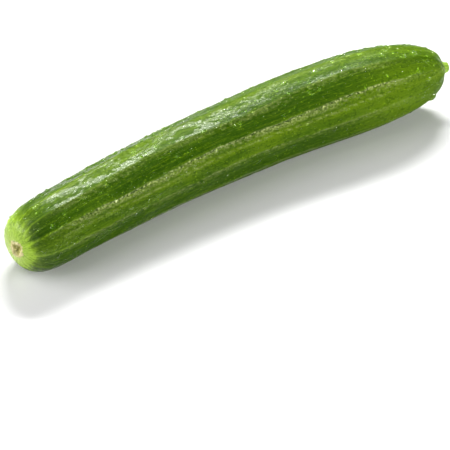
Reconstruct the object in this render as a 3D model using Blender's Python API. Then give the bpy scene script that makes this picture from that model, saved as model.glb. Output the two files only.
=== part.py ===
"""A whole cucumber lying on its side, with the short stub of its stem.

Metres, +Z up. The fruit lies along X, with its blossom end at -X and its stem end at +X,
and it bows towards +Y. It rests on z = 0, and the origin is the middle of its footprint.
"""
import math

import bmesh
import bpy
import numpy as np
from mathutils import Vector

# The fruit's run
LENGTH = 0.300             # along the centre line, from the blossom pole to the stem pole
BOW = math.radians(21)     # how far the centre line turns from end to end
BOW_SHIFT = 0.30           # how much stronger the bend is towards the stem end
LINE_STEPS = 2000          # steps in which the centre line is summed up

# The fruit's girth
MIDDLE_RADIUS = 0.0234
TAPER = 0.245              # how much thicker the stem end is than the blossom end
BLOSSOM_REACH = 0.034      # length over which the blossom end rounds off
BLOSSOM_BLUNTNESS = 3.6    # 2 is an ellipse, more is blunter
BLOSSOM_LEAN_UP = 0.060    # slopes by which the blossom end faces upwards and towards -Y
BLOSSOM_LEAN_SIDE = 0.065
STEM_REACH = 0.082
STEM_BLUNTNESS = 2.5

# The long soft ridges of the skin
RIDGES = 11
FIRST_RIDGE = math.radians(15.6)   # from straight up towards -Y
RIDGE_HEIGHT = 0.0005
RIDGE_FADE = 0.030         # length over which the ridges die out at each end

# The scar that the flower leaves, and the seat under the stem
SCAR_RADIUS = 0.0048
SCAR_DEPTH = 0.0006
SEAT_RADIUS = 0.0058
SEAT_RISE = 0.0005

# Where the weight presses the underside flat
PRESSED = 0.0004

# The stub of the stem
STUB_GAP = 0.0003
STUB_LENGTH = 0.0034
STUB_BASE_RADIUS = 0.0036
STUB_WAIST_RADIUS = 0.0031
STUB_RIDGES = 5
STUB_RIDGE_HEIGHT = 0.0002
STUB_END_ROUNDING = 0.0012
STUB_CUT_SHARE = 0.6       # radius of the flat cut, as a share of the stub's radius

# Mesh fineness
SIDES_PER_RIDGE = 5
FRUIT_RINGS = 62
STUB_SIDES = 25
STUB_RINGS = 12

SKIN_GREEN = (0.075, 0.190, 0.016)
STEM_GREEN = (0.330, 0.520, 0.035)


def clear_scene():
    for obj in list(bpy.data.objects):
        bpy.data.objects.remove(obj, do_unlink=True)


def make_material(name, colour, roughness):
    """A plain Principled material; nothing on a cucumber is metallic."""
    material = bpy.data.materials.new(name)
    material.use_nodes = True
    shader = material.node_tree.nodes["Principled BSDF"]
    shader.inputs["Base Color"].default_value = (*colour, 1.0)
    shader.inputs["Roughness"].default_value = roughness
    shader.inputs["Metallic"].default_value = 0.0
    return material


def trunk_radius(share):
    """Radius of the long taper, before the ends round off; share runs from 0 to 1."""
    return MIDDLE_RADIUS * (1 + TAPER * (share - 0.5))


def rounding(distance, reach, bluntness):
    """Share of the full radius at a distance from a pole: a superellipse."""
    left = np.clip(1 - distance / reach, 0, 1)
    return (1 - left ** bluntness) ** (1 / bluntness)


def body_radius(share):
    blossom = rounding(share * LENGTH, BLOSSOM_REACH, BLOSSOM_BLUNTNESS)
    stem = rounding((1 - share) * LENGTH, STEM_REACH, STEM_BLUNTNESS)
    return trunk_radius(share) * blossom * stem


def heading(share):
    """Direction of the centre line in plan, as an angle from +X towards +Y."""
    ahead = 0.5 - share
    return BOW * (ahead - BOW_SHIFT * (2 * ahead ** 2 - 1 / 6))


def centre_line(shares):
    """Places on the bowed centre line; its height keeps the underside straight."""
    fine = np.linspace(0, 1, LINE_STEPS + 1)
    middles = (fine[1:] + fine[:-1]) / 2
    step = LENGTH / LINE_STEPS
    x = np.concatenate([[0], np.cumsum(np.cos(heading(middles)) * step)])
    y = np.concatenate([[0], np.cumsum(np.sin(heading(middles)) * step)])
    z = trunk_radius(shares) - PRESSED
    return [Vector(place) for place in zip(np.interp(shares, fine, x), np.interp(shares, fine, y), z)]


def ring_shares():
    """Where the rings lie: even along the skin in the middle, closer together at the poles."""
    turn = np.linspace(0, math.pi, LINE_STEPS + 1)
    fine = (1 - np.cos(turn)) / 2
    steps = np.hypot(np.diff(fine) * LENGTH, np.diff(body_radius(fine)))
    along_skin = np.concatenate([[0], np.cumsum(steps)])
    even = np.linspace(0, 1, FRUIT_RINGS + 2)[1:-1]
    graded = (even + (1 - np.cos(math.pi * even)) / 2) / 2
    return np.interp(graded * along_skin[-1], along_skin, fine)


def ridge(angle):
    """Height of the ridged section over a round one: crests with flatter faces between."""
    wave = abs(math.sin((angle - FIRST_RIDGE) * RIDGES / 2))
    return RIDGE_HEIGHT * (0.5 - wave)


def pole_relief(radius, share):
    """How far the skin moves along the centre line: in at the scar, out at the stem's seat."""
    if share < 0.5:
        return SCAR_DEPTH * math.exp(-(radius / SCAR_RADIUS) ** 2)
    return SEAT_RISE * math.exp(-(radius / SEAT_RADIUS) ** 2)


def blossom_lean(angle, radius, share):
    """How far the skin moves towards the stem, so that the blossom end leans."""
    slope = BLOSSOM_LEAN_UP * math.cos(angle) + BLOSSOM_LEAN_SIDE * math.sin(angle)
    return slope * radius * max(0, 1 - share * LENGTH / BLOSSOM_REACH)


def across(angle, turn):
    """Unit vector across the centre line; angle runs from straight up towards -Y."""
    side = Vector((math.sin(turn), -math.cos(turn), 0))
    return side * math.sin(angle) + Vector((0, 0, 1)) * math.cos(angle)


def along(turn):
    return Vector((math.cos(turn), math.sin(turn), 0))


def fruit_rings():
    shares = ring_shares()
    sides = RIDGES * SIDES_PER_RIDGE
    rings = []
    for share, centre in zip(shares, centre_line(shares)):
        turn = heading(share)
        radius = body_radius(share)
        to_pole = min(share, 1 - share) * LENGTH
        fade = min(1, to_pole / RIDGE_FADE)
        middle = centre + along(turn) * pole_relief(radius, share)
        ring = []
        for number in range(sides):
            angle = FIRST_RIDGE + 2 * math.pi * number / sides
            point = middle + across(angle, turn) * (radius + fade * ridge(angle))
            point += along(turn) * blossom_lean(angle, radius, share)
            point.z = max(point.z, 0)
            ring.append(point)
        rings.append(ring)
    return rings


def stub_radius(height):
    """Radius of the stub: flared at its base, then slim, with a rounded rim at the cut."""
    flare = (STUB_BASE_RADIUS - STUB_WAIST_RADIUS) * (1 - height / STUB_LENGTH) ** 3
    rim = rounding(STUB_LENGTH - height, STUB_END_ROUNDING, 2)
    return (STUB_WAIST_RADIUS + flare) * (STUB_CUT_SHARE + (1 - STUB_CUT_SHARE) * rim)


def stub_rings():
    turn = heading(1)
    pole = centre_line(np.array([1.0]))[0]
    foot = pole + along(turn) * (SEAT_RISE + STUB_GAP)
    rings = []
    for number in range(STUB_RINGS):
        height = STUB_LENGTH * math.sin(math.pi / 2 * number / (STUB_RINGS - 1))
        radius = stub_radius(height)
        ring = []
        for side in range(STUB_SIDES):
            angle = 2 * math.pi * side / STUB_SIDES
            swell = STUB_RIDGE_HEIGHT * math.cos(STUB_RIDGES * angle)
            ring.append(foot + along(turn) * height + across(angle, turn) * (radius + swell))
        rings.append(ring)
    return rings


def add_ring(bm, points):
    verts = [bm.verts.new(point) for point in points]
    return [bm.edges.new((vert, verts[number - 1])) for number, vert in enumerate(verts)]


def loft(name, rings, material):
    """One closed body through a row of rings, with a shallow fan at each end."""
    bm = bmesh.new()
    loops = [add_ring(bm, ring) for ring in rings]
    for behind, ahead in zip(loops[:-1], loops[1:]):
        bmesh.ops.bridge_loops(bm, edges=behind + ahead)
    for loop in (loops[0], loops[-1]):
        cap = bmesh.ops.contextual_create(bm, geom=loop)["faces"]
        bmesh.ops.poke(bm, faces=cap)
    bmesh.ops.recalc_face_normals(bm, faces=bm.faces)
    mesh = bpy.data.meshes.new(name)
    bm.to_mesh(mesh)
    bm.free()
    mesh.materials.append(material)
    mesh.shade_smooth()
    obj = bpy.data.objects.new(name, mesh)
    bpy.context.collection.objects.link(obj)
    return obj


def centre_footprint(objects):
    """Move the whole cucumber so that the middle of its footprint is the origin."""
    places = np.array([vert.co for obj in objects for vert in obj.data.vertices])
    middle = (places.min(axis=0) + places.max(axis=0)) / 2
    for obj in objects:
        for vert in obj.data.vertices:
            vert.co.x -= middle[0]
            vert.co.y -= middle[1]


def main():
    clear_scene()
    fruit = loft("fruit", fruit_rings(), make_material("cucumber_skin", SKIN_GREEN, 0.32))
    stub = loft("stem_stub", stub_rings(), make_material("stem_flesh", STEM_GREEN, 0.45))
    centre_footprint([fruit, stub])


main()
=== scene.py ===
import math

import bpy
import numpy as np
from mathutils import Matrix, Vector


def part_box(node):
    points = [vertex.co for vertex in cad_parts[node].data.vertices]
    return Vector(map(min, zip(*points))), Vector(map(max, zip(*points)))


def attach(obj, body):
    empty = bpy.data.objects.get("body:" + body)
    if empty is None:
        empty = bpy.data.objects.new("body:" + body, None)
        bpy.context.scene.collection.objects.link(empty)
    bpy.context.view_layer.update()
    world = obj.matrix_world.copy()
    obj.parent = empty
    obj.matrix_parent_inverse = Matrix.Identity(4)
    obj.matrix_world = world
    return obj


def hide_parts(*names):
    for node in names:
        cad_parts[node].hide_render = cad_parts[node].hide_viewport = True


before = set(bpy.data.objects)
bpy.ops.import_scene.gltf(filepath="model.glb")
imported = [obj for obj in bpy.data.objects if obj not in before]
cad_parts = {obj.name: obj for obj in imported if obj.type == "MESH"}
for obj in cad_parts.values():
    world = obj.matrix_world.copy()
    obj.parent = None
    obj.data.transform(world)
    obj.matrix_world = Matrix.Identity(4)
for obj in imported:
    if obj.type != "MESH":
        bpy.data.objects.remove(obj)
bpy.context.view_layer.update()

fruit_low, fruit_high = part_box("fruit")
stub_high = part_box("stem_stub")[1]

# ---------------------------------------------------------------------------------------------
# The fruit's form: the same long taper, bow and rounded ends as the frame
# ---------------------------------------------------------------------------------------------
LENGTH = 0.300             # along the centre line, from the blossom pole to the stem pole
BOW = math.radians(21)     # how far the centre line turns from end to end
BOW_SHIFT = 0.30           # how much stronger the bend is towards the stem end
MIDDLE_RADIUS = 0.0234
TAPER = 0.245              # how much thicker the stem end is than the blossom end
BLOSSOM_REACH = 0.034      # length over which the blossom end rounds off
BLOSSOM_BLUNTNESS = 3.6    # 2 is an ellipse, more is blunter
BLOSSOM_LEAN_UP = 0.060    # slopes by which the blossom end faces upwards and towards -Y
BLOSSOM_LEAN_SIDE = 0.065
STEM_REACH = 0.082
STEM_BLUNTNESS = 2.5
PRESSED = 0.0004           # how far the weight presses the underside flat
SEAT_RADIUS = 0.0058
SEAT_RISE = 0.0005
LINE_STEPS = 4000

# Fineness of the skin's mesh
SIDES = 322
RINGS = 300

# The skin's relief: heights, widths and distances in metres
RIDGES = 11
FIRST_RIDGE = math.radians(16.6)   # from straight up towards -Y
RIDGE_HEIGHT = 0.00075
RIDGE_SOFTNESS = 0.10
RIDGES_START = 0.012               # how far from either pole the ridges start to fade in
BLOSSOM_FADE = 0.024
STEM_FADE = 0.028
KNOT_HEIGHT = 0.00012              # the beads along a ridge's crest
KNOT_WIDTH = 0.05                  # as a share of the ridges' pitch
RIB_PLACE = 0.43                   # where the low rib beside each ridge lies, as such a share
RIB_TURN = RIB_PLACE * 2 * math.pi / RIDGES
RIB_HEIGHT = 0.00012
RIB_WIDTH = 0.10
# On this side the ridges' pale lines also carry a painted highlight on the crests.
CORKY_AND_HIGHLIT_SIDE = math.radians(50)      # the side of the fruit whose ridges are roughest
LEAST_CORKY = 0.16                 # how rough the smoothest ridges still are
CORKY_FOCUS = 5                    # how narrow the rough side is
SEAT_FOLDS = 5                     # folds of the shoulder round the stem
SEAT_FOLD_TURN = 1.0
SEAT_FOLD_HEIGHT = 0.00030
SEAT_FOLD_PLACE = 0.010
SEAT_FOLD_WIDTH = 0.005

# The corky scar at the blossom pole: a pit, an uneven ring round it, and a slope across it
SCAR_RADIUS = 0.0052
SCAR_DEPTH = 0.0011
SCAR_RIM = 0.00055
SCAR_RIM_PLACE = 0.86              # shares of the scar's radius
SCAR_PIT_FLOOR = 0.10
SCAR_PIT_EDGE = 0.84
SCAR_END = 1.25
SCAR_RIM_WIDTH = 0.00075
SCAR_SLOPE = 0.0004
SCAR_SLOPE_START = 0.0010
SCAR_SLOPES = 3                    # how many times it rises and falls round the scar
SCAR_SLOPE_TURN = 0.8

# Where the skin is wet
WET_EDGE = (-0.25, 0.05)           # the patches' irregularity where they start and are full
DRYING = 0.68                      # how much less wet it is towards the stem
DRYING_FROM, DRYING_TO = 0.07, 0.20
WET_LINE_PLACE = 0.14              # beside each ridge, as shares of the ridges' pitch
WET_LINE_WIDTH = 0.14
WET_BLOSSOM = 0.75
WET_BLOSSOM_REACH = 0.024

# Closeness of the mesh's rings near the poles, where the scar and the stem's seat need it
BLOSSOM_CLOSENESS = 2.6
BLOSSOM_CLOSE_REACH = 0.010
STEM_CLOSENESS = 1.2
STEM_CLOSE_REACH = 0.014

# Seeds of the rows of beads
CREST_SEED = 23
CREST_EDGE_SEED = 25
RIB_SEED = 27
WET_LINE_SEED = 103
WET_BLOSSOM_SEED = 105

# Seeded irregularities of the skin and the stem. Each: its size, how many waves it adds up, the
# fewest and most waves round the fruit, the shortest and longest wave along it in metres, its seed.
WAVE_SETS = {
    "ridge_wander": (0.10, 6, (1, 3), (0.09, 0.25), 11),
    "ridge_jitter": (0.025, 14, (3, 9), (0.006, 0.030), 12),
    "ridge_size": (0.35, 8, (1, 5), (0.10, 0.40), 21),
    "broad_swell": (0.00020, 10, (1, 3), (0.05, 0.16), 31),
    "soft_dents": (0.00006, 16, (4, 10), (0.014, 0.045), 41),
    "long_ripples": (0.00004, 20, (22, 38), (0.02, 0.12), 51),
    "fine_ripples": (0.000022, 30, (45, 80), (0.006, 0.04), 61),
    "shoulder_folds": (0.5, 8, (4, 12), (0.02, 0.06), 63),
    "zone_drift": (0.45, 5, (1, 2), (0.12, 0.40), 71),
    "zone_tone": (0.16, 8, (2, 7), (0.05, 0.25), 72),
    "line_depth": (0.5, 9, (1, 9), (0.02, 0.15), 73),
    "cap_edge": (0.0030, 8, (1, 5), (0.2, 0.5), 81),
    "mark_reach": (0.034, 8, (2, 9), (0.2, 0.5), 82),
    "cap_fringe": (0.0010, 14, (9, 26), (0.02, 0.08), 83),
    "shade_reach": (0.010, 8, (3, 11), (0.2, 0.5), 84),
    "mark_strength": (0.55, 9, (2, 8), (0.03, 0.2), 85),
    "blush": (0.4, 8, (3, 12), (0.03, 0.2), 86),
    "mark_width": (0.5, 9, (2, 9), (0.02, 0.1), 87),
    "shade_strength": (0.65, 7, (2, 6), (0.2, 0.5), 88),
    "sheen_reach": (0.004, 8, (2, 9), (0.2, 0.5), 89),
    "scar_outline": (0.13, 9, (2, 7), (0.2, 0.5), 91),
    "scar_ring": (0.75, 16, (2, 11), (0.003, 0.010), 92),
    "scar_lumps": (0.00030, 24, (2, 7), (0.0014, 0.005), 93),
    "scar_fringe": (0.06, 12, (7, 22), (0.003, 0.010), 94),
    "wet_patches": (1.0, 18, (7, 20), (0.016, 0.090), 101),
    "wet_edges": (0.40, 24, (14, 44), (0.004, 0.014), 102),
    "stem_fibres": (0.00006, 18, (12, 28), (0.004, 0.02), 201),
    "stem_lumps": (0.00010, 12, (2, 7), (0.003, 0.009), 202),
    "stem_cut_grain": (0.00007, 20, (3, 14), (0.0006, 0.002), 203),
}


def trunk_radius(share):
    """Radius of the long taper, before the ends round off; share runs from 0 to 1."""
    return MIDDLE_RADIUS * (1 + TAPER * (share - 0.5))


def rounding(distance, reach, bluntness):
    """Share of the full radius at a distance from a pole: a superellipse."""
    left = np.clip(1 - distance / reach, 0, 1)
    return (1 - left ** bluntness) ** (1 / bluntness)


def body_radius(share):
    """Radius of the fruit, with both ends rounded off."""
    blossom = rounding(share * LENGTH, BLOSSOM_REACH, BLOSSOM_BLUNTNESS)
    stem = rounding((1 - share) * LENGTH, STEM_REACH, STEM_BLUNTNESS)
    return trunk_radius(share) * blossom * stem


def heading(share):
    """Direction of the centre line in plan, as an angle from +X towards +Y."""
    ahead = 0.5 - share
    return BOW * (ahead - BOW_SHIFT * (2 * ahead ** 2 - 1 / 6))


def centre_line(shares):
    """Places on the bowed centre line; its height keeps the underside straight."""
    fine = np.linspace(0, 1, LINE_STEPS + 1)
    middles = (fine[1:] + fine[:-1]) / 2
    step = LENGTH / LINE_STEPS
    x = np.concatenate([[0], np.cumsum(np.cos(heading(middles)) * step)])
    y = np.concatenate([[0], np.cumsum(np.sin(heading(middles)) * step)])
    z = trunk_radius(shares) - PRESSED
    return np.stack([np.interp(shares, fine, x), np.interp(shares, fine, y), z], axis=-1)


def skin_scale():
    """Shares along the centre line, and the distance from the blossom pole over the skin."""
    turn = np.linspace(0, math.pi, LINE_STEPS + 1)
    fine = (1 - np.cos(turn)) / 2
    steps = np.hypot(np.diff(fine) * LENGTH, np.diff(body_radius(fine)))
    return fine, np.concatenate([[0], np.cumsum(steps)])


SHARE_SCALE, SKIN_SCALE = skin_scale()
SKIN_LENGTH = SKIN_SCALE[-1]


def waves(angle, distance, count, around, pitch, seed):
    """Seeded smooth irregularity over the skin, about -1 to 1.

    around is the fewest and most waves round the fruit, and pitch is the shortest and
    longest wave along it, in metres.
    """
    pick = np.random.default_rng(seed)
    total = 0
    for _ in range(count):
        turns = pick.integers(around[0], around[1] + 1)
        slope = 2 * math.pi / pick.uniform(*pitch) * pick.choice([-1, 1])
        total = total + np.cos(turns * angle + slope * distance + pick.uniform(0, 2 * math.pi))
    return total * math.sqrt(2 / count) / 2


def waviness(name, angle, distance):
    """One of the named irregularities, in its own size."""
    size, count, around, pitch, seed = WAVE_SETS[name]
    return size * waves(angle, distance, count, around, pitch, seed)


def smooth_step(value, low, high):
    """0 up to low and 1 from high on, with a smooth rise between."""
    share = np.clip((value - low) / (high - low), 0, 1)
    return share * share * (3 - 2 * share)


def ridge_phase(angle, distance):
    """The angle counted in ridges: whole numbers are crests, which wander a little."""
    wander = waviness("ridge_wander", angle, distance)
    wander += waviness("ridge_jitter", angle, distance)
    return (angle - FIRST_RIDGE) * RIDGES / (2 * math.pi) + wander


def crest(angle, distance):
    """1 on a ridge's crest, 0 in the flat between two ridges."""
    across_ridge = np.abs(np.sin(math.pi * ridge_phase(angle, distance)))
    return 1 - np.sqrt(across_ridge ** 2 + RIDGE_SOFTNESS ** 2) / math.sqrt(1 + RIDGE_SOFTNESS ** 2)


def thin_line(angle, distance, place, width):
    """1 on a thin line that runs beside every ridge; place and width are shares of their pitch."""
    beside = (ridge_phase(angle, distance) - place + 0.5) % 1 - 0.5
    return np.exp(-(beside / width) ** 2)


def beads(angle, distance, seed):
    """Uneven knots along the fruit, from 0 to 1: fine ones, stronger and weaker by stretches."""
    fine = waves(angle, distance, 26, (3, 60), (0.0022, 0.009), seed)
    stretches = waves(angle, distance, 8, (1, 9), (0.03, 0.12), seed + 1)
    return np.clip(0.50 + 0.60 * fine + 0.45 * stretches, 0, 1)


def corkiness_and_highlight(angle):
    """How rough the ridges are on each side of the fruit, from LEAST_CORKY to 1; it also sets how
    strong the painted highlight on their pale lines is.
    """
    facing = 0.5 + 0.5 * np.cos(2 * (angle - CORKY_AND_HIGHLIT_SIDE))
    return LEAST_CORKY + (1 - LEAST_CORKY) * facing ** CORKY_FOCUS


def wetness(angle, distance):
    """Where beads of water cover the skin, from 0 to 1.

    They lie in loose patches, beside the ridges, and round the blossom end.
    """
    patches = waviness("wet_patches", angle, distance) + waviness("wet_edges", angle, distance)
    patches = smooth_step(patches, *WET_EDGE)
    patches = patches * (1 - DRYING * smooth_step(distance, DRYING_FROM, DRYING_TO))
    lines = thin_line(angle, distance, WET_LINE_PLACE, WET_LINE_WIDTH) * corkiness_and_highlight(angle)
    lines = lines * smooth_step(beads(angle, distance, WET_LINE_SEED), 0.2, 0.7)
    blossom = WET_BLOSSOM * np.exp(-(distance / WET_BLOSSOM_REACH) ** 4)
    blossom = blossom * smooth_step(beads(angle, distance, WET_BLOSSOM_SEED), 0.1, 0.6)
    return np.clip(patches + blossom + lines, 0, 1)


def scar_relief(angle, distance):
    """The sunken corky scar at the blossom pole and the uneven ring round it."""
    radius = SCAR_RADIUS * (1 + waviness("scar_outline", angle, 0 * distance))
    uneven = np.clip(1 + waviness("scar_ring", angle, distance), 0.1, 2)
    ring = SCAR_RIM * np.exp(-((distance - SCAR_RIM_PLACE * radius) / SCAR_RIM_WIDTH) ** 2) * uneven
    pit = -SCAR_DEPTH * (1 - smooth_step(distance, SCAR_PIT_FLOOR * radius, SCAR_PIT_EDGE * radius))
    slope = SCAR_SLOPE * smooth_step(distance, 0, SCAR_SLOPE_START)
    slope = slope * np.cos(SCAR_SLOPES * angle + SCAR_SLOPE_TURN)
    inside = 1 - smooth_step(distance, radius, SCAR_END * radius)
    return ring + pit + (waviness("scar_lumps", angle, distance) + slope) * inside


def relief(angle, distance):
    """Height of the skin over the smooth form."""
    to_stem = SKIN_LENGTH - distance
    size = 1 + waviness("ridge_size", angle, distance)
    height = RIDGE_HEIGHT * size * (crest(angle, distance) - 0.5)
    knots = thin_line(angle, distance, 0, KNOT_WIDTH) * beads(angle, distance, CREST_SEED)
    height += KNOT_HEIGHT * corkiness_and_highlight(angle) * knots
    knots = thin_line(angle, distance, RIB_PLACE, RIB_WIDTH) * beads(angle, distance, RIB_SEED)
    height += RIB_HEIGHT * corkiness_and_highlight(angle - RIB_TURN) * knots
    for name in ("broad_swell", "soft_dents", "long_ripples", "fine_ripples"):
        height += waviness(name, angle, distance)
    height *= smooth_step(distance, RIDGES_START, RIDGES_START + BLOSSOM_FADE)
    height *= smooth_step(to_stem, RIDGES_START, RIDGES_START + STEM_FADE)
    folds = np.cos(SEAT_FOLDS * angle + SEAT_FOLD_TURN) + waviness("shoulder_folds", angle, distance)
    fold_reach = np.exp(-((to_stem - SEAT_FOLD_PLACE) / SEAT_FOLD_WIDTH) ** 2)
    return height + SEAT_FOLD_HEIGHT * folds * fold_reach + scar_relief(angle, distance)


def build_grid():
    """Places and facts of every grid point of the skin, ring by ring from the blossom end."""
    fine = np.linspace(0, SKIN_LENGTH, LINE_STEPS + 1)
    closeness = 1 + BLOSSOM_CLOSENESS * np.exp(-(fine / BLOSSOM_CLOSE_REACH) ** 2)
    closeness += STEM_CLOSENESS * np.exp(-((SKIN_LENGTH - fine) / STEM_CLOSE_REACH) ** 2)
    count = np.concatenate([[0], np.cumsum((closeness[1:] + closeness[:-1]) / 2)])
    even = (np.arange(RINGS) + 0.5) / RINGS
    distance = np.interp(even * count[-1], count, fine)[:, None] + np.zeros((1, SIDES))
    share = np.interp(distance, SKIN_SCALE, SHARE_SCALE)
    angle = np.zeros((RINGS, 1)) + (2 * math.pi * np.arange(SIDES) / SIDES)[None, :]
    return share, angle, distance


def place(share, angle, distance):
    """Points of the smooth form."""
    turn = heading(share)
    radius = body_radius(share)
    along = np.stack([np.cos(turn), np.sin(turn), 0 * turn], axis=-1)
    side = np.stack([np.sin(turn), -np.cos(turn), 0 * turn], axis=-1)
    up = np.array([0.0, 0.0, 1.0])
    outward = side * np.sin(angle)[..., None] + up * np.cos(angle)[..., None]
    lean = BLOSSOM_LEAN_UP * np.cos(angle) + BLOSSOM_LEAN_SIDE * np.sin(angle)
    push = lean * radius * np.clip(1 - share * LENGTH / BLOSSOM_REACH, 0, 1)
    push = push + SEAT_RISE * np.exp(-(radius / SEAT_RADIUS) ** 2) * (share > 0.5)
    return centre_line(share) + outward * radius[..., None] + along * push[..., None]


def normals_of(points):
    """Outward normals of a grid of points that closes on itself round the fruit."""
    down_grid = np.gradient(points, axis=0)
    round_grid = np.roll(points, -1, axis=1) - np.roll(points, 1, axis=1)
    normal = np.cross(round_grid, down_grid)
    return normal / np.linalg.norm(normal, axis=-1, keepdims=True)


def skin_mesh(name, points):
    """One closed skin over a grid of points, with a fan of faces over each pole."""
    rings, sides = points.shape[:2]
    verts = [*points.reshape(-1, 3), points[0].mean(axis=0), points[-1].mean(axis=0)]
    faces = []
    for ring in range(rings - 1):
        for number in range(sides):
            here = ring * sides + number
            beside = ring * sides + (number + 1) % sides
            faces.append((here, beside, beside + sides, here + sides))
    last = (rings - 1) * sides
    for number in range(sides):
        beside = (number + 1) % sides
        faces.append((beside, number, rings * sides))
        faces.append((last + number, last + beside, rings * sides + 1))
    mesh = bpy.data.meshes.new(name)
    mesh.from_pydata([tuple(v) for v in verts], [], faces)
    mesh.shade_smooth()
    return mesh


def add_map(mesh, rings, sides):
    """Unrolls the skin: u runs from pole to pole and v once round."""
    corners = []
    for ring in range(rings - 1):
        for number in range(sides):
            for side_step, ring_step in ((0, 0), (1, 0), (1, 1), (0, 1)):
                corners.append(((ring + ring_step + 1) / (rings + 1), (number + side_step) / sides))
    for number in range(sides):
        corners += [(1 / (rings + 1), (number + 1) / sides), (1 / (rings + 1), number / sides),
                    (0, (number + 0.5) / sides)]
        corners += [(rings / (rings + 1), number / sides), (rings / (rings + 1), (number + 1) / sides),
                    (1, (number + 0.5) / sides)]
    layer = mesh.uv_layers.new(name="OFBake")
    layer.data.foreach_set("uv", np.array(corners, np.float32).ravel())


def add_fact(mesh, name, grid_values, pole_values):
    """Stores one number, or one vector, at each vertex for the material to read."""
    values = np.concatenate([grid_values.reshape(-1, *grid_values.shape[2:]), np.array(pole_values)])
    vector = values.ndim > 1
    layer = mesh.attributes.new(name, "FLOAT_VECTOR" if vector else "FLOAT", "POINT")
    layer.data.foreach_set("vector" if vector else "value", values.astype(np.float32).ravel())


# ---------------------------------------------------------------------------------------------
# Materials
# ---------------------------------------------------------------------------------------------
class Graph:
    """Builds one material's nodes; each method returns the new node's output."""

    def __init__(self, name):
        self.material = bpy.data.materials.new(name)
        self.material.use_nodes = True
        self.tree = self.material.node_tree
        self.shader = self.tree.nodes["Principled BSDF"]

    def put(self, socket, value):
        """Links another node's output to a socket, or writes a plain value into it."""
        if isinstance(value, bpy.types.NodeSocket):
            self.tree.links.new(value, socket)
        else:
            socket.default_value = value

    def add(self, kind, inputs, output=0, **settings):
        made = self.tree.nodes.new(kind)
        for key, value in settings.items():
            setattr(made, key, value)
        for key, value in inputs.items():
            self.put(made.inputs[key], value)
        return made.outputs[output]

    def fact(self, name, output="Fac"):
        """Reads what add_fact stored on the mesh."""
        return self.add("ShaderNodeAttribute", {}, output, attribute_name=name)

    def math(self, operation, *values):
        return self.add("ShaderNodeMath", dict(enumerate(values)), operation=operation)

    def stretch(self, vector, amounts):
        return self.add("ShaderNodeVectorMath", {0: vector, 1: amounts}, operation="MULTIPLY")

    def noise(self, vector, amounts, detail, roughness):
        stretched = self.stretch(vector, amounts)
        inputs = {"Vector": stretched, "Scale": 1.0, "Detail": detail, "Roughness": roughness}
        return self.add("ShaderNodeTexNoise", inputs)

    def voronoi(self, vector, amounts, smoothness=0.3):
        stretched = self.stretch(vector, amounts)
        inputs = {"Vector": stretched, "Scale": 1.0, "Smoothness": smoothness}
        return self.add("ShaderNodeTexVoronoi", inputs, feature="SMOOTH_F1")

    def band(self, value, low, high, at_low=0.0, at_high=1.0):
        """A smooth change from at_low to at_high while the value goes from low to high."""
        inputs = {"Value": value, 1: low, 2: high, 3: at_low, 4: at_high}
        return self.add("ShaderNodeMapRange", inputs, interpolation_type="SMOOTHSTEP")

    def mix(self, share, first, second):
        return self.add("ShaderNodeMix", {0: share, 6: first, 7: second}, 2, data_type="RGBA")

    def bump(self, height, distance, normal=None):
        """Fine relief, distance metres deep, on top of the relief in normal."""
        inputs = {"Height": height, "Distance": distance}
        if normal is not None:
            inputs["Normal"] = normal
        return self.add("ShaderNodeBump", inputs)

    def finish(self, **inputs):
        for name, value in inputs.items():
            self.put(self.shader.inputs[name.replace("_", " ")], value)
        return self.material


def colour(red, green, blue):
    """An opaque colour, as linear light."""
    return (red, green, blue, 1.0)


# ---------------------------------------------------------------------------------------------
# The skin
# ---------------------------------------------------------------------------------------------
DEEP_GREEN = colour(0.044, 0.103, 0.003)
LEAF_GREEN = colour(0.086, 0.168, 0.006)
PALE_GREEN = colour(0.158, 0.262, 0.008)
OLIVE = colour(0.240, 0.325, 0.020)
LIME = colour(0.285, 0.450, 0.022)
# Colour of the painted sheen on the blossom cap
CAP_SHEEN_PALE = colour(0.520, 0.620, 0.240)
# Pale ridge lines: partly the skin's own cream, partly a painted highlight on the crests
RIDGE_CREAM_AND_HIGHLIGHT = colour(0.520, 0.580, 0.220)
SHADE_GREEN = colour(0.022, 0.062, 0.004)
CORK = colour(0.620, 0.560, 0.300)
CORK_DARK = colour(0.330, 0.320, 0.100)
SKIN_IOR = 1.14            # a film of water lowers the skin's own mirror shine
FILM_IOR = 1.42            # wax and water together shine more than water alone
FILM_ROUGHNESS = 0.27      # the film's own shine, spread by the fine grain under it
DRY_ROUGHNESS = 0.52
WET_ROUGHNESS = 0.20
GRAIN_ROUGHNESS = 0.06     # added by the fine grain
SCAR_ROUGHNESS = 0.45      # added on the corky scar
LEAST_WET_RELIEF = 0.30    # the cells' relief and shine where the skin is dry
LEAST_WET_SHINE = 0.12
WRINKLE_DEPTH = 0.00019
CELL_DEPTH = 0.00015
HAIR_DEPTH = 0.00003

# Pale and dark sides; their angles are counted from straight up towards -Y
ZONES = 5                  # broad paler sides round the fruit
ZONE_FOCUS = 1.6           # how narrow they are
ZONE_SHARE = 0.86
FACET_SHARE = 0.45         # how much of the zones' tone jumps from facet to facet
# Painted light: the next share makes the upper side that faces the lamps paler
LIT_SIDE_SHARE = 0.08
FIRST_ZONE = math.radians(62)
# where that painted light falls: the upper side towards the key lamp
LIT_SIDE = math.radians(-20)
FAR_SIDE = math.radians(-60)
# Dark lines between the ridges: place and width as shares of the ridges' pitch, and depth
DARK_LINES = ((-0.15, 0.06, 0.16), (0.30, 0.06, 0.24), (0.71, 0.10, 0.22))
DARK_LINE_SHARE = 0.8      # shares of that depth, on average and at most
DARK_LINE_LIMIT = 1.5

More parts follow.
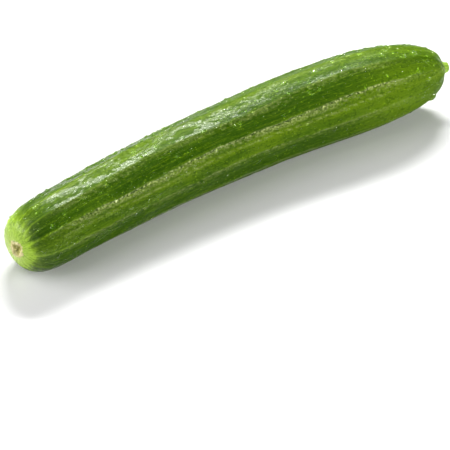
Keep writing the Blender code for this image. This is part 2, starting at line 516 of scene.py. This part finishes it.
# Broken cream lines along the ridges: partly the skin's own pale ridges, partly a painted highlight on
# the crests.
# Each: place and width as shares of the ridges' pitch, strength, seed of its beads, and the size of
# bead where the line starts and where it is full
CREST_LINE = (0.02, 0.042, 1.15, CREST_SEED, -0.15, 0.70)
CREST_EDGE_LINE = (0.15, 0.10, 0.62, CREST_EDGE_SEED, 0.05, 0.75)
RIB_LINE = (RIB_PLACE, 0.05, 0.45, RIB_SEED, 0.00, 0.90)
LINES_FROM_BLOSSOM = (0.020, 0.050)    # distances over which they fade in from either pole
LINES_FROM_STEM = (0.030, 0.070)

# The pale cap round the scar; on the far side it reaches further and fades more softly
CAP_RADIUS = 0.0112
CAP_FADE_IN = 0.0012
CAP_FADE_OUT = 0.0036
FAR_CAP_MORE = 0.0040
FAR_CAP_FADE_IN = 0.002
FAR_CAP_FADE_OUT = 0.012
# Painted sheen: a paler wash over the blossom cap's lower far side
SHEEN_SIDE = math.radians(-135)
SHEEN_FOCUS = 1.5
LEAST_SHEEN = 0.25
SHEEN_REACH = 0.015

# Pale lines out of the cap, on the ridges and between them; widths as shares of the ridges' pitch
MARK_START = 0.010
MARK_REACH = 0.050
MARK_STRENGTH = 0.62
MARK_WIDTH = 0.030
MARK_LEAST_WIDTH = 0.012
MARK_FALL = 1.3
MARK_FLARE = 0.12          # how much wider the lines are where they leave the cap
MARK_FLARE_REACH = 0.007
BETWEEN_PLACE = 0.52
BETWEEN_LEAST_WIDTH = 0.008
BETWEEN_STRENGTH = 0.45

# The dark lobes between those lines
SHADE_EDGE = (0.0115, 0.0165)
SHADE_FULL = 0.016
SHADE_REACH = 0.018
SHADE_STRENGTH = 0.55

# The yellower flank
BLUSH_SIDE = math.radians(84)
BLUSH_FROM_STEM = 0.048
BLUSH_REACH = 0.034
BLUSH_STRENGTH = 0.9
BLUSH_FOCUS = 3

SCAR_COLOUR_REACH = 1.06   # as a share of the scar's radius
SCAR_COLOUR_FADE = (-0.0005, 0.0004)

# Noise over the skin: how closely it repeats across and along the fruit, its detail and roughness
SKIN_NOISES = {
    "streaks": ((7.0, 7.0, 0.45), 4.0, 0.6),
    "lines": ((26.0, 26.0, 0.8), 3.0, 0.6),
    "hairs": ((60.0, 60.0, 1.8), 2.0, 0.6),
    "dashes": ((30.0, 30.0, 5.0), 1.0, 0.5),
    "mottle": ((11.0, 11.0, 6.0), 3.0, 0.6),
    "grain": ((60.0, 60.0, 40.0), 2.0, 0.6),
    "crumbs": ((34.0, 34.0, 22.0), 2.0, 0.6),
    "wrinkles": ((16.0, 16.0, 5.0), 3.0, 0.6),
}
# How closely the pale dots and the cells of the wet film repeat, and how soft the dots are
DOTS = (9.0, 9.0, 8.0)
DOT_SOFTNESS = 0.02
CELLS = (21.0, 21.0, 15.0)

# What each pattern adds to the tone of green
ZONES_TONE = 0.62
STREAKS_TONE = 0.55
MOTTLE_TONE = 0.18


def facing(angle, side):
    """1 on the side at this angle, 0 on the side opposite."""
    return 0.5 + 0.5 * np.cos(angle - side)


def zone_tone(angle, distance):
    """How pale each broad side is, from 0 to 1."""
    drift = waviness("zone_drift", angle, distance)
    return facing(ZONES * (angle - FIRST_ZONE) + drift, 0) ** ZONE_FOCUS


def pale_zones(angle, distance):
    """How pale each facet between two ridges is, from 0 to 1, uneven along the fruit, with painted
    light making the side towards the key lamp paler.
    """
    phase = ridge_phase(angle, distance)
    facet_middle = FIRST_RIDGE + (np.floor(phase) + 0.5) * 2 * math.pi / RIDGES
    tone = FACET_SHARE * zone_tone(facet_middle, distance)
    tone += (1 - FACET_SHARE) * zone_tone(angle, distance)
    # painted light: the side that faces the lamps is made a little paler
    tone = ZONE_SHARE * tone + LIT_SIDE_SHARE * facing(angle, LIT_SIDE)
    tone += waviness("zone_tone", angle, distance)
    uneven = DARK_LINE_SHARE + waviness("line_depth", angle, distance)
    uneven = np.clip(uneven, 0, DARK_LINE_LIMIT)
    for place_across, width, depth in DARK_LINES:
        tone -= depth * uneven * thin_line(angle, distance, place_across, width)
    return np.clip(tone, 0, 1)


def cream_line(angle, distance, line):
    """One broken pale line beside every ridge."""
    place_across, width, strength, seed, start, full = line
    broken = smooth_step(beads(angle, distance, seed), start, full)
    return strength * thin_line(angle, distance, place_across, width) * broken


def ridge_cream_and_highlight(angle, distance):
    """The thin rough pale lines on the crests and on the ribs beside them, from 0 to 1: partly the
    skin's own cream, partly a painted highlight.
    """
    crests = cream_line(angle, distance, CREST_LINE)
    crests += cream_line(angle, distance, CREST_EDGE_LINE)
    ribs = cream_line(angle, distance, RIB_LINE)
    lines = crests * corkiness_and_highlight(angle) + ribs * corkiness_and_highlight(angle - RIB_TURN) ** 2
    ends = smooth_step(distance, *LINES_FROM_BLOSSOM)
    ends = ends * smooth_step(SKIN_LENGTH - distance, *LINES_FROM_STEM)
    return np.clip(lines, 0, 1) * ends


def far_side(angle):
    """1 on the upper far side of the fruit, 0 on its lower near side."""
    return facing(angle, FAR_SIDE) ** 2


def cap_sheen(angle, distance):
    """A painted sheen: the palest part of the blossom cap, on its far and lower side, from 0 to 1."""
    around = LEAST_SHEEN + (1 - LEAST_SHEEN) * facing(angle, SHEEN_SIDE) ** SHEEN_FOCUS
    reach = SHEEN_REACH + waviness("sheen_reach", angle, 0 * distance)
    return around * np.exp(-(distance / reach) ** 2)


def blossom_mark(angle, distance):
    """The pale cap round the scar and the pale lines that run out of it, from 0 to 1."""
    still = 0 * distance
    far = far_side(angle)
    edge = CAP_RADIUS + waviness("cap_edge", angle, still) + waviness("cap_fringe", angle, distance)
    edge = edge + FAR_CAP_MORE * far
    inner = edge - CAP_FADE_IN - FAR_CAP_FADE_IN * far
    outer = edge + CAP_FADE_OUT + FAR_CAP_FADE_OUT * far
    cap = 1 - smooth_step(distance, inner, outer)
    reach = MARK_REACH + waviness("mark_reach", angle, still)
    beyond = np.clip((distance - MARK_START) / reach, 0, 1)
    strength = np.clip(MARK_STRENGTH + waviness("mark_strength", angle, distance), 0.1, 1)
    flare = MARK_FLARE * np.exp(-(distance - MARK_START) / MARK_FLARE_REACH)
    width = np.abs(MARK_WIDTH * (1 + waviness("mark_width", angle, distance)))
    main = thin_line(angle, distance, 0, width + MARK_LEAST_WIDTH + flare)
    main = main * (1 - beyond) ** MARK_FALL
    between = thin_line(angle, distance, BETWEEN_PLACE, width / 2 + BETWEEN_LEAST_WIDTH + flare)
    between = between * np.clip(1 - 2 * beyond, 0, 1)
    return np.clip(cap + strength * (main + BETWEEN_STRENGTH * between), 0, 1)


def blossom_shade(angle, distance):
    """The dark lobes between the pale lines, just beyond the pale cap, from 0 to 1."""
    still = 0 * distance
    reach = SHADE_REACH + waviness("shade_reach", angle, still)
    strength = np.clip(SHADE_STRENGTH + waviness("shade_strength", angle, still), 0, 1)
    fall = np.exp(-np.clip(distance - SHADE_FULL, 0, 1) / reach)
    return smooth_step(distance, *SHADE_EDGE) * strength * (1 - far_side(angle)) * fall


def stem_blush(angle, distance):
    """The yellower flank near the stem end, from 0 to 1."""
    along_fruit = np.exp(-((SKIN_LENGTH - distance - BLUSH_FROM_STEM) / BLUSH_REACH) ** 2)
    strength = np.clip(BLUSH_STRENGTH + waviness("blush", angle, distance), 0, 1)
    return along_fruit * facing(angle, BLUSH_SIDE) ** BLUSH_FOCUS * strength


def scar_mask(angle, distance):
    """1 on the corky scar at the blossom pole, with an uneven edge."""
    edge = SCAR_COLOUR_REACH * SCAR_RADIUS * (1 + waviness("scar_outline", angle, 0 * distance))
    edge = edge * (1 + waviness("scar_fringe", angle, distance))
    start, full = SCAR_COLOUR_FADE
    return 1 - smooth_step(distance, edge + start, edge + full)


def scar_depths(angle, distance):
    """How high a point of the scar stands, from 0 in the pit to 1 on the ring."""
    return np.clip((scar_relief(angle, distance) + SCAR_DEPTH) / (SCAR_DEPTH + SCAR_RIM), 0, 1)


def skin_colour(graph, grown, noises, cells):
    """Tones of green, then paler and darker layers one over the other."""
    tone = graph.math("MULTIPLY", noises["streaks"], STREAKS_TONE)
    tone = graph.math("MULTIPLY_ADD", graph.fact("zones"), ZONES_TONE, tone)
    tone = graph.math("MULTIPLY_ADD", noises["mottle"], MOTTLE_TONE, tone)
    green = graph.mix(graph.band(tone, 0.34, 0.72), DEEP_GREEN, LEAF_GREEN)
    green = graph.mix(graph.band(tone, 0.62, 1.12), green, PALE_GREEN)
    dots = graph.voronoi(grown, DOTS, DOT_SOFTNESS)
    crumbs = graph.band(noises["crumbs"], 0.36, 0.58, 0.40, 1.0)
    mark_lines = graph.band(noises["lines"], 0.25, 0.55, 0.55, 1.0)
    sheen_lines = graph.band(noises["lines"], 0.30, 0.60, 0.55, 1.0)
    # Painted shade: dark rims round the cells of the wet film, in patches and along the ridges
    cell_rim_shade = graph.band(noises["mottle"], 0.42, 0.60, 0.05, 0.45)
    cell_rim_shade = graph.math("MAXIMUM", cell_rim_shade, graph.fact("ridge_cream_and_highlight"))
    # Each layer: where it lies, how strong it is, and its colour
    layers = (
        (graph.band(noises["lines"], 0.50, 0.68), 0.38, PALE_GREEN),
        (graph.band(noises["lines"], 0.50, 0.34), 0.40, DEEP_GREEN),
        (graph.band(noises["hairs"], 0.55, 0.70), 0.25, OLIVE),
        (graph.band(noises["dashes"], 0.62, 0.70), 0.50, PALE_GREEN),
        (graph.fact("stem_blush"), 0.80, PALE_GREEN),
        (graph.band(dots, 0.15, 0.09), 0.75, LIME),
        # pale ridge lines, partly a painted highlight on the crests
        (graph.fact("ridge_cream_and_highlight"), crumbs, RIDGE_CREAM_AND_HIGHLIGHT),
        (graph.fact("blossom_shade"), 0.90, SHADE_GREEN),
        (graph.fact("blossom_mark"), mark_lines, LIME),
        # painted sheen on the blossom cap's lower far side
        (graph.fact("cap_sheen"), sheen_lines, CAP_SHEEN_PALE),
        # painted shade at the rims of the wet film's cells
        (graph.band(cells, 0.42, 0.60), cell_rim_shade, SHADE_GREEN),
    )
    for mask, strength, tint in layers:
        green = graph.mix(graph.math("MULTIPLY", mask, strength), green, tint)
    return green


def cork_colour(graph, grain):
    """The scar's cork, darker in its pit."""
    tone = graph.math("MULTIPLY", grain, 0.6)
    tone = graph.math("MULTIPLY_ADD", graph.fact("scar_depth"), 0.8, tone)
    return graph.mix(graph.band(tone, 0.45, 1.05), CORK_DARK, CORK)


def skin_relief(graph, noises, cells, wet):
    """Wrinkles, then the water's cells, then hairs and grain."""
    film = graph.math("MAXIMUM", wet, LEAST_WET_RELIEF)
    film = graph.math("MULTIPLY", film, graph.band(cells, 0.62, 0.10))
    fine = graph.math("MULTIPLY_ADD", noises["hairs"], 0.8, noises["grain"])
    normal = graph.bump(noises["wrinkles"], WRINKLE_DEPTH)
    normal = graph.bump(film, CELL_DEPTH, normal=normal)
    return graph.bump(fine, HAIR_DEPTH, normal=normal)


def skin_material():
    graph = Graph("cucumber_skin")
    grown = graph.fact("grown", "Vector")
    noises = {name: graph.noise(grown, *settings) for name, settings in SKIN_NOISES.items()}
    cells = graph.voronoi(grown, CELLS)
    wet = graph.fact("wet")
    scar = graph.fact("scar")

    green = skin_colour(graph, grown, noises, cells)
    base = graph.mix(scar, green, cork_colour(graph, noises["grain"]))

    glossy = graph.math("MAXIMUM", wet, graph.fact("ridge_cream_and_highlight"))
    rough = graph.band(glossy, 0.15, 0.7, DRY_ROUGHNESS, WET_ROUGHNESS)
    rough = graph.math("MULTIPLY_ADD", noises["grain"], GRAIN_ROUGHNESS, rough)
    rough = graph.math("MULTIPLY_ADD", scar, SCAR_ROUGHNESS, rough)

    coat = graph.math("MAXIMUM", wet, LEAST_WET_SHINE)
    coat = graph.math("MULTIPLY", coat, graph.band(cells, 0.50, 0.28, 0.25, 1.0))
    graph.finish(IOR=SKIN_IOR, Coat_Weight=coat, Coat_Roughness=FILM_ROUGHNESS, Coat_IOR=FILM_IOR)
    normal = skin_relief(graph, noises, cells, wet)
    return graph.finish(Base_Color=base, Roughness=rough, Normal=normal)


# What the skin's material reads: name, how it is worked out, and its value at either pole
SKIN_FACTS = (
    ("zones", pale_zones, [1, 0.5]),
    ("ridge_cream_and_highlight", ridge_cream_and_highlight, [0, 0]),
    ("blossom_mark", blossom_mark, [1, 0]),
    ("cap_sheen", cap_sheen, [1, 0]),
    ("blossom_shade", blossom_shade, [0, 0]),
    ("stem_blush", stem_blush, [0, 0]),
    ("wet", wetness, [0, 0]),
    ("scar", scar_mask, [1, 0]),
    ("scar_depth", scar_depths, [0, 0]),
)


def build_fruit():
    """The fruit's piece; returns its skin's points and outward directions."""
    share, angle, distance = build_grid()
    smooth = place(share, angle, distance)
    box_middle = (fruit_low + fruit_high) / 2
    own_middle = (smooth.min(axis=(0, 1)) + smooth.max(axis=(0, 1))) / 2
    smooth[..., 0] += box_middle.x - own_middle[0]
    smooth[..., 1] += box_middle.y - own_middle[1]
    normal = normals_of(smooth)
    points = smooth + normal * relief(angle, distance)[..., None]
    points[..., 2] = np.maximum(points[..., 2], 0)
    mesh = skin_mesh("cucumber_fruit", points)
    add_map(mesh, RINGS, SIDES)
    grown = np.stack([np.cos(angle), np.sin(angle), distance / MIDDLE_RADIUS], axis=-1)
    add_fact(mesh, "grown", grown, [(0, 0, 0), (0, 0, SKIN_LENGTH / MIDDLE_RADIUS)])
    for name, measure, at_poles in SKIN_FACTS:
        add_fact(mesh, name, measure(angle, distance), at_poles)
    mesh.materials.append(skin_material())
    fruit = bpy.data.objects.new("cucumber_fruit", mesh)
    bpy.context.collection.objects.link(fruit)
    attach(fruit, "root")
    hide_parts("fruit")
    return points, normal


skin_points, skin_normals = build_fruit()

# ---------------------------------------------------------------------------------------------
# The cut stem
# ---------------------------------------------------------------------------------------------
STEM_SIDES = 120
STEM_FLANK_RINGS = 26
STEM_RIM_RINGS = 9
STEM_FACE_RINGS = 16
STEM_RADIUS = 0.00315
STEM_FLARE = 0.0011        # how much wider the stem's foot is
STEM_FOOT_REACH = 0.0011
STEM_SUNK = 0.0010         # how far the foot goes into the fruit
STEM_RIM = 0.0014          # radius of the worn edge of the cut
STEM_WAIST = 0.05          # how much thinner it is half-way
STEM_RIBS = 5
STEM_RIB_HEIGHT = 0.00010
STEM_RIB_TURN = 0.4
STEM_CUT_HOLLOW = 0.00035  # depth of the cut face's middle
STEM_CUT_SLOPE = 0.00018
STEM_CUT_SLOPE_TURN = 0.6
STEM_RING_HEIGHT = 0.00009
STEM_RING_PITCH = 0.0009
STEM_EVEN_MIDDLE = (0.0001, 0.0008)    # radii over which the cut's rings and grain fade in
STEM_RINGS_SEEN = 17.0     # how closely the rings of colour lie on the cut
STEM_BUMP = 0.00007
STEM_GREEN = colour(0.200, 0.370, 0.014)
STEM_PALE = colour(0.360, 0.530, 0.060)
STEM_CUT = colour(0.560, 0.640, 0.260)
STEM_CUT_DARK = colour(0.240, 0.300, 0.060)
STEM_DRY = colour(0.330, 0.270, 0.110)


def stem_profile(length):
    """Reach along the stem, radius, and share of cut face, ring by ring."""
    flank = np.linspace(-STEM_SUNK, length - STEM_RIM, STEM_FLANK_RINGS)
    foot = STEM_FLARE * np.exp(-np.clip(flank, 0, 1) / STEM_FOOT_REACH)
    waist = 1 - STEM_WAIST * np.sin(math.pi * np.clip(flank / length, 0, 1))
    turn = np.linspace(0, math.pi / 2, STEM_RIM_RINGS + 1)[1:]
    inside = np.linspace(1, 0, STEM_FACE_RINGS + 2)[1:-1]
    rim_reach = length - STEM_RIM + STEM_RIM * np.sin(turn)
    rim_radius = STEM_RADIUS - STEM_RIM * (1 - np.cos(turn))
    face_reach = length - STEM_CUT_HOLLOW * (1 - inside ** 2)
    face_radius = (STEM_RADIUS - STEM_RIM) * inside
    reach = np.concatenate([flank, rim_reach, face_reach])
    radius = np.concatenate([STEM_RADIUS * waist + foot, rim_radius, face_radius])
    cut = np.concatenate([0 * flank, turn / (math.pi / 2), 1 + 0 * inside])
    return reach, radius, cut


def build_stem():
    """The stem's stub: ribs on its flank, rings and grain on its slightly slanting cut."""
    foot_place = skin_points[-1].mean(axis=0)
    turn = float(heading(np.array(1.0)))
    ahead = np.array([math.cos(turn), math.sin(turn), 0.0])
    side = np.array([math.sin(turn), -math.cos(turn), 0.0])
    up = np.array([0.0, 0.0, 1.0])
    length = (stub_high.x - STEM_RADIUS * abs(math.sin(turn)) - foot_place[0]) / math.cos(turn)
    reach, radius, cut = (row[:, None] for row in stem_profile(length))
    angle = np.linspace(0, 2 * math.pi, STEM_SIDES, endpoint=False)[None, :]
    flank = 1 - cut
    ribs = STEM_RIB_HEIGHT * np.cos(STEM_RIBS * angle + STEM_RIB_TURN) * np.clip(0.35 + flank, 0, 1)
    fibres = waviness("stem_fibres", angle, reach)
    lumps = waviness("stem_lumps", angle, reach)
    radius = radius * (1 + (ribs + fibres * flank + lumps) / STEM_RADIUS)
    grain = waviness("stem_cut_grain", angle, radius)
    rings = STEM_RING_HEIGHT * np.cos(radius * 2 * math.pi / STEM_RING_PITCH)
    on_cut = smooth_step(cut, 0.5, 1.0) * smooth_step(radius, *STEM_EVEN_MIDDLE)
    slope = STEM_CUT_SLOPE * np.cos(angle - STEM_CUT_SLOPE_TURN)
    reach = reach + (grain + rings) * on_cut + slope * cut * radius / STEM_RADIUS
    outward = side * np.sin(angle)[..., None] + up * np.cos(angle)[..., None]
    surface = foot_place + outward * radius[..., None] + ahead * (reach + 0 * angle)[..., None]
    mesh = skin_mesh("cut_stem", surface)
    add_map(mesh, *surface.shape[:2])
    grown = np.stack([np.cos(angle) + 0 * reach, np.sin(angle) + 0 * reach,
                      (reach - radius * cut) / STEM_RADIUS + 0 * angle], axis=-1)
    add_fact(mesh, "grown", grown, [(0, 0, -1), (0, 0, 1)])
    add_fact(mesh, "cut", cut + 0 * angle, [0, 1])
    add_fact(mesh, "from_middle", radius / STEM_RADIUS, [1, 0])
    mesh.materials.append(stem_material())
    stem = bpy.data.objects.new("cut_stem", mesh)
    bpy.context.collection.objects.link(stem)
    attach(stem, "root")
    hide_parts("stem_stub")


def stem_material():
    graph = Graph("cut_stem")
    grown = graph.fact("grown", "Vector")
    cut = graph.fact("cut")
    from_middle = graph.fact("from_middle")
    fibres = graph.noise(grown, (9.0, 9.0, 0.7), 4.0, 0.6)
    grain = graph.noise(grown, (14.0, 14.0, 9.0), 3.0, 0.6)
    flank = graph.mix(graph.band(fibres, 0.38, 0.66), STEM_GREEN, STEM_PALE)
    rings = graph.math("SINE", graph.math("MULTIPLY", from_middle, STEM_RINGS_SEEN))
    ring_tone = graph.math("MULTIPLY_ADD", rings, 0.18, grain)
    face = graph.mix(graph.band(ring_tone, 0.35, 0.70), STEM_CUT_DARK, STEM_CUT)
    dry_edge = graph.math("MULTIPLY", graph.band(from_middle, 0.72, 0.92), 0.7)
    face = graph.mix(dry_edge, face, STEM_DRY)
    base = graph.mix(graph.band(cut, 0.35, 0.75), flank, face)
    rough = graph.band(grain, 0.3, 0.7, 0.40, 0.62)
    height = graph.math("MULTIPLY_ADD", fibres, 1.4, grain)
    return graph.finish(Base_Color=base, Roughness=rough, Normal=graph.bump(height, STEM_BUMP))


build_stem()

# ---------------------------------------------------------------------------------------------
# Drops of water
# ---------------------------------------------------------------------------------------------
WATER_IOR = 1.33
RIPPLE_DEPTH = 0.00001

# Each kind of drop: how many, smallest and largest radius, sides, bands
DROP_KINDS = (
    (2400, 0.00022, 0.00038, 7, 2),
    (1300, 0.00038, 0.00070, 9, 3),
    (400, 0.00080, 0.00160, 16, 4),
)
DROP_SEED = 301
SMALL_MOSTLY = 1.8         # above 1, a kind has more drops near its smallest radius
FLATNESS = (0.50, 0.80)    # height over radius
STRETCH = (0.9, 1.3)
OVAL = 0.10                # how uneven a drop's outline is, in two lobes and in three
LOBES = 0.05
SINK = 0.16                # shares of a drop's radius: how far it sinks into the skin,
TOP_BULGE = 0.03           # how far its top stands over its last ring,
FOOT_DEPTH = 0.30          # and how deep in the skin its underside closes

# Where drops settle
UPPER_SIDES = (-0.75, 0.10)            # cosines of the angle from straight up: none, and all
EVENLY_SPREAD = 0.7
GATHERED = 2.0
GATHERING_SIDE = math.radians(-47)     # where most drops gather
GATHERING_WIDTH = 0.07
AT_BLOSSOM = 0.45          # how many drops lie at the blossom end, as a share of the stem end's
ON_DRY_SKIN = 0.35         # and on dry skin, as a share of wet skin's
BARE_BLOSSOM = (0.010, 0.020)
DRY_FOOT = 0.006           # no water lower than this, where the fruit rests

LARGE_SIDES = 28
LARGE_BANDS = 9
# Larger drops near the stem. Each: its angle in degrees from straight up towards -Y, its
# distance from the stem pole, and its radius
LARGE_DROPS = (
    (9, 0.032, 0.0024), (13, 0.040, 0.0020), (30, 0.025, 0.0015), (-16, 0.045, 0.0018),
    (2, 0.052, 0.0015), (44, 0.034, 0.0015), (62, 0.027, 0.0017), (113, 0.024, 0.0027),
    (92, 0.033, 0.0014), (150, 0.036, 0.0016), (-70, 0.030, 0.0018), (-110, 0.045, 0.0016),
    (215, 0.040, 0.0017),
)


def drop_shape(sides, bands, flatness):
    """One drop of radius 1 as rings from its foot to its top, with the foot at height 0."""
    middle = (1 - flatness ** 2) / (2 * flatness)
    reach = math.hypot(1, middle)
    foot = math.atan2(1, middle)
    lean = foot * (1 - np.arange(bands) / bands)[:, None]
    turn = (2 * math.pi * np.arange(sides) / sides)[None, :]
    x = reach * np.sin(lean) * np.cos(turn)
    y = reach * np.sin(lean) * np.sin(turn)
    z = reach * np.cos(lean) - middle + 0 * turn
    return np.stack([x, y, z], axis=-1), turn


def add_drop(verts, faces, row, column, size, sides, bands, pick):
    """Adds one slightly uneven drop, its foot a little way into the skin."""
    place_at = skin_points[row, column]
    out = skin_normals[row, column]
    along = skin_points[min(row + 1, RINGS - 1), column] - place_at
    along = along - out * along.dot(out)
    along = along / np.linalg.norm(along)
    around = np.cross(out, along)
    shape, turn = drop_shape(sides, bands, pick.uniform(*FLATNESS))
    uneven = 1 + OVAL * np.cos(2 * turn + pick.uniform(0, 2 * math.pi))
    uneven += LOBES * np.cos(3 * turn + pick.uniform(0, 2 * math.pi))
    stretch = pick.uniform(*STRETCH)
    shape = shape * size
    local = along * (shape[..., :1] * uneven[..., None] * stretch)
    local = local + around * (shape[..., 1:2] * uneven[..., None])
    surface = place_at + local + out * (shape[..., 2:] - SINK * size)
    start = len(verts)
    verts.extend(surface.reshape(-1, 3))
    verts.append(place_at + out * (shape[-1, 0, 2] - SINK * size + TOP_BULGE * size))
    verts.append(place_at - out * FOOT_DEPTH * size)
    top, foot = start + bands * sides, start + bands * sides + 1
    for number in range(sides):
        beside = (number + 1) % sides
        for band in range(bands - 1):
            low = start + band * sides
            faces.append((low + number, low + beside, low + sides + beside, low + sides + number))
        last = start + (bands - 1) * sides
        faces.append((last + number, last + beside, top))
        faces.append((start + beside, start + number, foot))


def drop_chance(share, angle, distance):
    """Where drops settle: on the upper sides, in the wet patches, more towards the stem."""
    gathering = np.exp(-((np.cos(angle - GATHERING_SIDE) - 1) / GATHERING_WIDTH) ** 2)
    upper = smooth_step(np.cos(angle), *UPPER_SIDES) * (EVENLY_SPREAD + GATHERED * gathering)
    towards_stem = AT_BLOSSOM + (1 - AT_BLOSSOM) * share
    on_wet = ON_DRY_SKIN + (1 - ON_DRY_SKIN) * wetness(angle, distance)
    return upper * towards_stem * on_wet * smooth_step(distance, *BARE_BLOSSOM)


def build_drops():
    """All the drops as one piece of small closed meshes."""
    share, angle, distance = build_grid()
    height = skin_points[..., 2]
    spacing = np.gradient(distance[:, 0])[:, None] * body_radius(share)
    chance = drop_chance(share, angle, distance) * spacing * (height > DRY_FOOT)
    chance = (chance / chance.sum()).ravel()
    pick = np.random.default_rng(DROP_SEED)
    verts, faces = [], []
    for count, smallest, largest, sides, bands in DROP_KINDS:
        for spot in pick.choice(chance.size, count, replace=False, p=chance):
            size = smallest + (largest - smallest) * pick.uniform(0, 1) ** SMALL_MOSTLY
            add_drop(verts, faces, spot // SIDES, spot % SIDES, size, sides, bands, pick)
    for lean, from_stem, size in LARGE_DROPS:
        row = int(np.argmin(np.abs(distance[:, 0] - (SKIN_LENGTH - from_stem))))
        column = int(round(lean / 360 * SIDES)) % SIDES
        add_drop(verts, faces, row, column, size, LARGE_SIDES, LARGE_BANDS, pick)
    mesh = bpy.data.meshes.new("water_drops")
    mesh.from_pydata([tuple(v) for v in verts], [], faces)
    mesh.shade_smooth()
    mesh.materials.append(water_material())
    drops = bpy.data.objects.new("water_drops", mesh)
    bpy.context.collection.objects.link(drops)
    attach(drops, "root")


def water_material():
    """Clear water that casts no shadow of its own."""
    graph = Graph("water")
    geometry = graph.add("ShaderNodeNewGeometry", {}, "Position")
    ripple = graph.noise(geometry, (900.0, 900.0, 900.0), 2.0, 0.5)
    rough = graph.band(ripple, 0.3, 0.7, 0.0, 0.04)
    graph.finish(Base_Color=colour(1, 1, 1), IOR=WATER_IOR, Transmission_Weight=1.0)
    graph.finish(Roughness=rough, Normal=graph.bump(ripple, RIPPLE_DEPTH))
    clear = graph.add("ShaderNodeBsdfTransparent", {})
    shadow = graph.add("ShaderNodeLightPath", {}, "Is Shadow Ray")
    blend = graph.add("ShaderNodeMixShader", {0: shadow, 1: graph.shader.outputs["BSDF"], 2: clear})
    graph.put(graph.tree.nodes["Material Output"].inputs["Surface"], blend)
    return graph.material


build_drops()

# ---------------------------------------------------------------------------------------------
# Floor, light and camera
# ---------------------------------------------------------------------------------------------
FLOOR_RADIUS = 0.6
FLOOR_SIDES = 160
FLOOR_WHITE = colour(0.86, 0.86, 0.86)
FLOOR_ROUGHNESS = 0.9

bpy.ops.mesh.primitive_circle_add(vertices=FLOOR_SIDES, radius=FLOOR_RADIUS, fill_type="NGON")
floor = bpy.context.object
floor.name = "floor"
floor_material = Graph("floor_white").finish(Base_Color=FLOOR_WHITE, Roughness=FLOOR_ROUGHNESS)
floor.data.materials.append(floor_material)

# Soft rectangular lights: direction from the cucumber, distance, width, height and power
LIGHTS = {
    "key": ((0.40, 0.55, 0.73), 1.3, 0.60, 0.17, 17),
    "front_strip": ((0.42, -0.74, 0.50), 1.3, 1.3, 0.045, 7),
    "broad_left": ((-0.52, 0.16, 0.84), 1.4, 1.2, 1.0, 6),
    "left_card": ((-0.87, 0.42, 0.22), 1.1, 0.9, 0.4, 7.5),
    "front_left": ((-0.80, -0.50, 0.35), 1.2, 0.6, 0.6, 1.5),
    "front_right": ((0.80, -0.52, 0.28), 1.2, 0.6, 0.4, 2),
}


def area_light(name, direction, reach, width, height, power):
    """A light that looks at the point on the floor under the cucumber's middle."""
    light = bpy.data.lights.new(name, "AREA")
    light.shape = "RECTANGLE"
    light.size = width
    light.size_y = height
    light.energy = power
    obj = bpy.data.objects.new(name, light)
    obj.location = Vector(direction).normalized() * reach
    obj.rotation_euler = (-obj.location).to_track_quat("-Z", "Y").to_euler()
    bpy.context.collection.objects.link(obj)


for name, settings in LIGHTS.items():
    area_light(name, *settings)

# A dim sky, so that the wet skin keeps its colour, over a white horizon
HORIZON_TOP = 0.028        # sines of the angle above the floor
HORIZON_FADE = 0.02
HORIZON_STRENGTH = 1.1
SKY_STRENGTH = 0.05

world = bpy.data.worlds.new("studio")
bpy.context.scene.world = world
world.use_nodes = True
background = world.node_tree.nodes["Background"]
background.inputs["Color"].default_value = (1, 1, 1, 1)
direction = world.node_tree.nodes.new("ShaderNodeTexCoord")
parts = world.node_tree.nodes.new("ShaderNodeSeparateXYZ")
fade = world.node_tree.nodes.new("ShaderNodeMapRange")
fade.inputs["From Min"].default_value = HORIZON_TOP
fade.inputs["From Max"].default_value = HORIZON_TOP + HORIZON_FADE
fade.inputs["To Min"].default_value = HORIZON_STRENGTH
fade.inputs["To Max"].default_value = SKY_STRENGTH
world.node_tree.links.new(direction.outputs["Generated"], parts.inputs[0])
world.node_tree.links.new(parts.outputs["Z"], fade.inputs["Value"])
world.node_tree.links.new(fade.outputs["Result"], background.inputs["Strength"])

VIEW_AZIMUTH = math.radians(-32.8)
VIEW_ELEVATION = math.radians(40.65)
VIEW_DISTANCE = 1.7
LENS = 227.8
SENSOR = 36.0
VIEW_RIGHT = -0.0029       # how far the view is moved across and up
VIEW_UP = -0.0296

back = Vector((math.sin(VIEW_AZIMUTH) * math.cos(VIEW_ELEVATION),
               -math.cos(VIEW_AZIMUTH) * math.cos(VIEW_ELEVATION), math.sin(VIEW_ELEVATION)))
right = Vector((math.cos(VIEW_AZIMUTH), math.sin(VIEW_AZIMUTH), 0))
upward = back.cross(right)
camera_data = bpy.data.cameras.new("camera")
camera_data.lens = LENS
camera_data.sensor_width = SENSOR
camera = bpy.data.objects.new("camera", camera_data)
camera.location = back * VIEW_DISTANCE + right * VIEW_RIGHT + upward * VIEW_UP
camera.rotation_euler = back.to_track_quat("Z", "Y").to_euler()
bpy.context.collection.objects.link(camera)
bpy.context.scene.camera = camera
bpy.context.scene.view_settings.view_transform = "Standard"
bpy.context.scene.view_settings.look = "Medium High Contrast"
